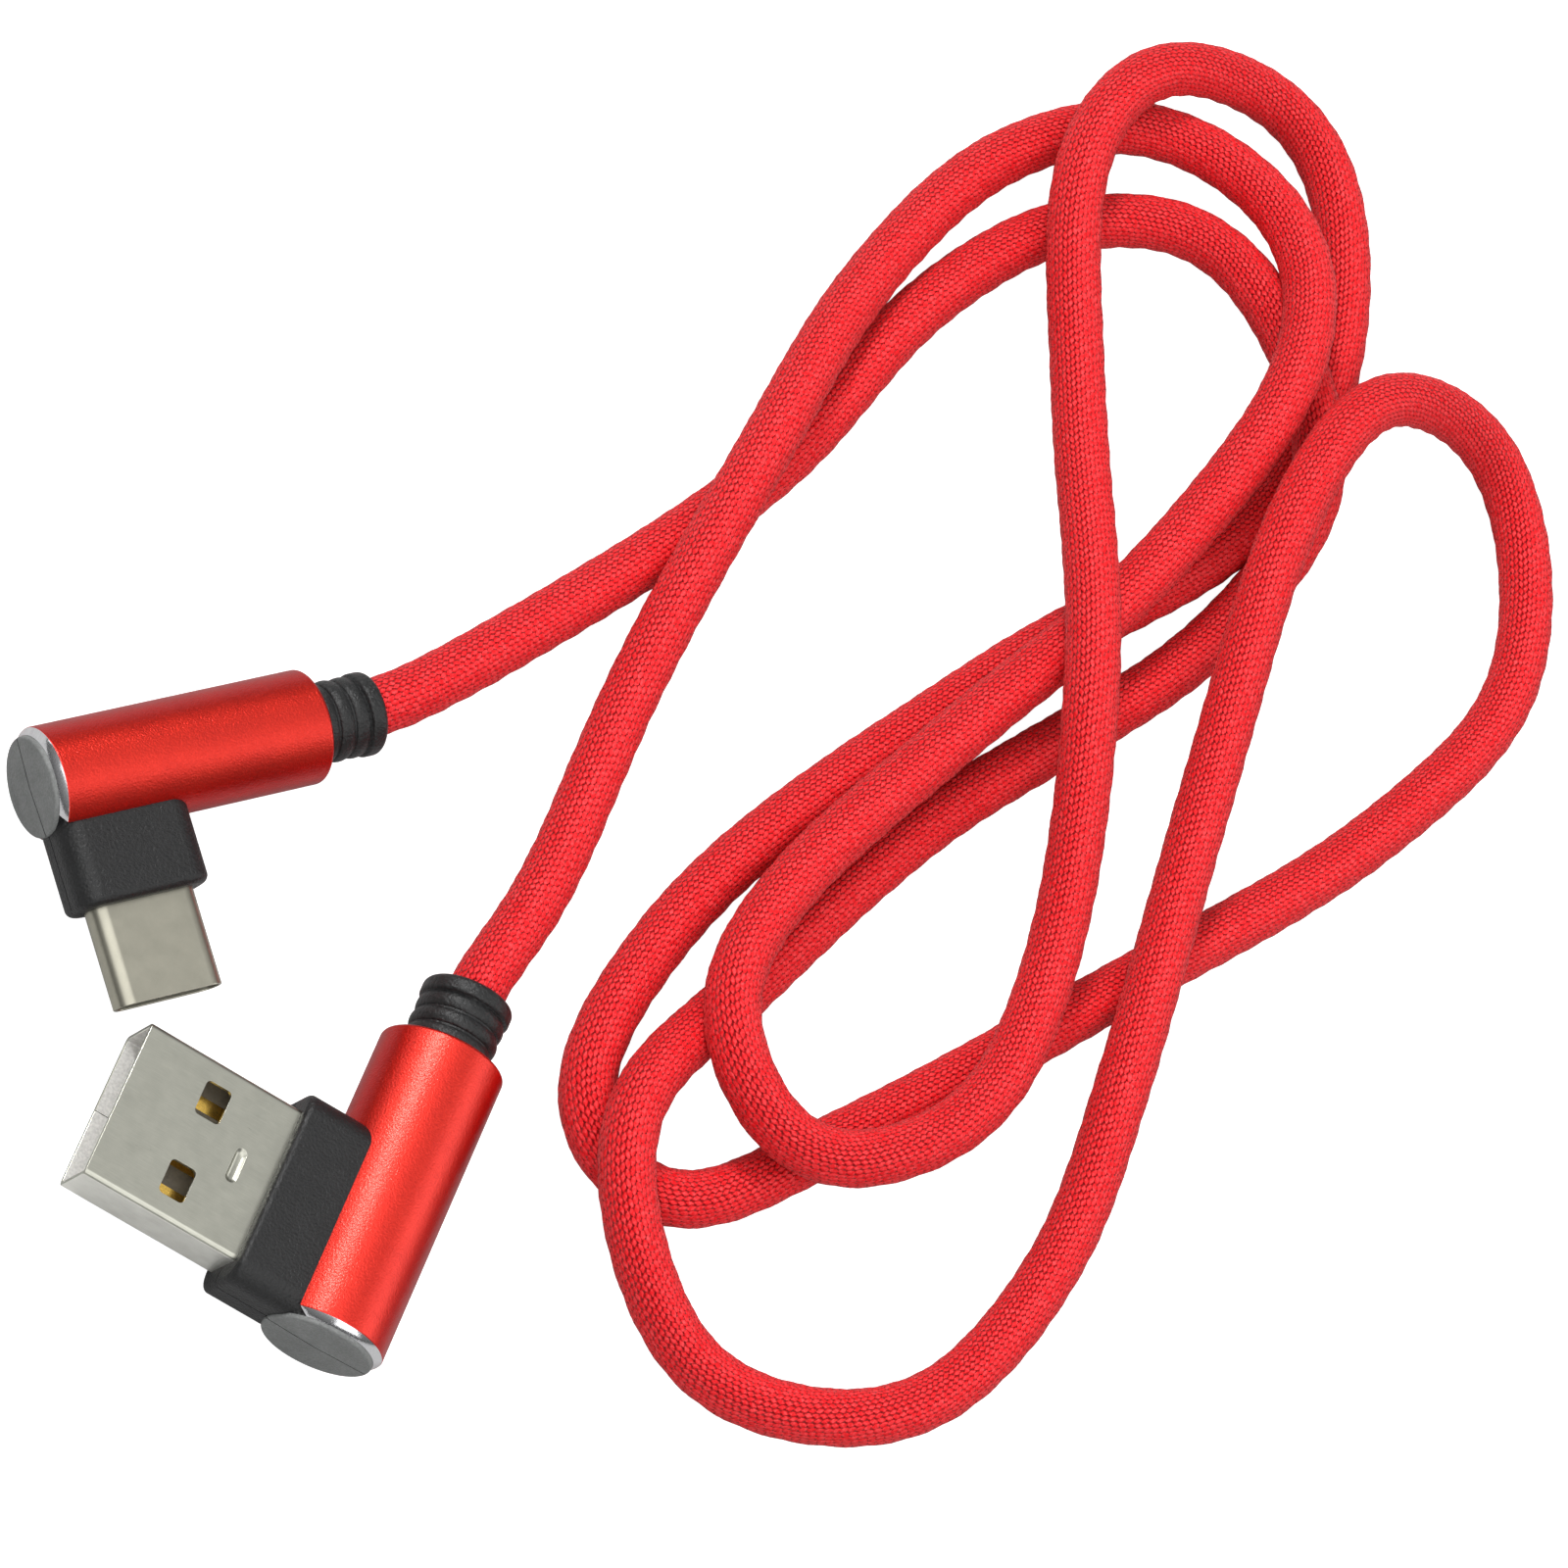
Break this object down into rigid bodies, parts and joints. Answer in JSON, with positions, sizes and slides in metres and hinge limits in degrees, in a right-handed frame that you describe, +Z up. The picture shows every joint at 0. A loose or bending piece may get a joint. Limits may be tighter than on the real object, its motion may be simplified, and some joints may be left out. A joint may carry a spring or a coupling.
{
  "type": "charging cable",
  "caption": "Charging cable with a woven textile cord and right-angled USB-A and USB-C plugs in metal barrels, lying in loose loops.",
  "frame": {"origin": "on the supporting surface, under the middle of the box round the two plugs, cord left out", "axes": "+Z up; -X is the way the USB-A plug is inserted; the USB-A barrel runs along +Y towards its cord"},
  "size_m": [0.1076, 0.132, 0.0125],
  "materials": {
    "usb_a_shell_nickel": "nickel plated, lightly scratched",
    "usb_c_shell_steel": "satin nickel",
    "latch_steel": "spring steel",
    "contact_gold": "gold plated",
    "insulator": "moulded",
    "inner_mould": "potting",
    "housing_black": "fine moulded grain",
    "relief_black": "matte",
    "sleeve_red": "bead blasted, red anodised, bright chamfer",
    "cord_textile": "woven polyester",
    "cord_jacket": "extruded jacket",
    "board_green": "solder mask",
    "resistor_black": "ceramic chip",
    "wire_red": "extruded",
    "wire_white": "extruded",
    "wire_green": "extruded",
    "wire_black": "extruded"
  },
  "bodies": {
    "root": {"usb_a_shell": "usb_a_shell_nickel", "usb_a_insulator": "insulator", "usb_a_contact_vbus": "contact_gold", "usb_a_contact_data_minus": "contact_gold", "usb_a_contact_data_plus": "contact_gold", "usb_a_contact_ground": "contact_gold", "usb_a_inner_mould": "inner_mould", "usb_a_housing": "housing_black", "usb_a_sleeve": "sleeve_red", "usb_a_strain_relief": "relief_black", "usb_a_wire_vbus": "wire_red", "usb_a_wire_data_minus": "wire_white", "usb_a_wire_data_plus": "wire_green", "usb_a_wire_ground": "wire_black", "usb_c_shell": "usb_c_shell_steel", "usb_c_insulator": "insulator", "usb_c_contacts_upper": "contact_gold", "usb_c_contacts_lower": "contact_gold", "usb_c_latch": "latch_steel", "usb_c_board": "board_green", "usb_c_resistor": "resistor_black", "usb_c_inner_mould": "inner_mould", "usb_c_housing": "housing_black", "usb_c_sleeve": "sleeve_red", "usb_c_strain_relief": "relief_black", "usb_c_wire_vbus": "wire_red", "usb_c_wire_data_minus": "wire_white", "usb_c_wire_data_plus": "wire_green", "usb_c_wire_ground": "wire_black", "cord_textile_sleeve": "cord_textile", "cord_core": "cord_jacket"}
  },
  "joints": []
}
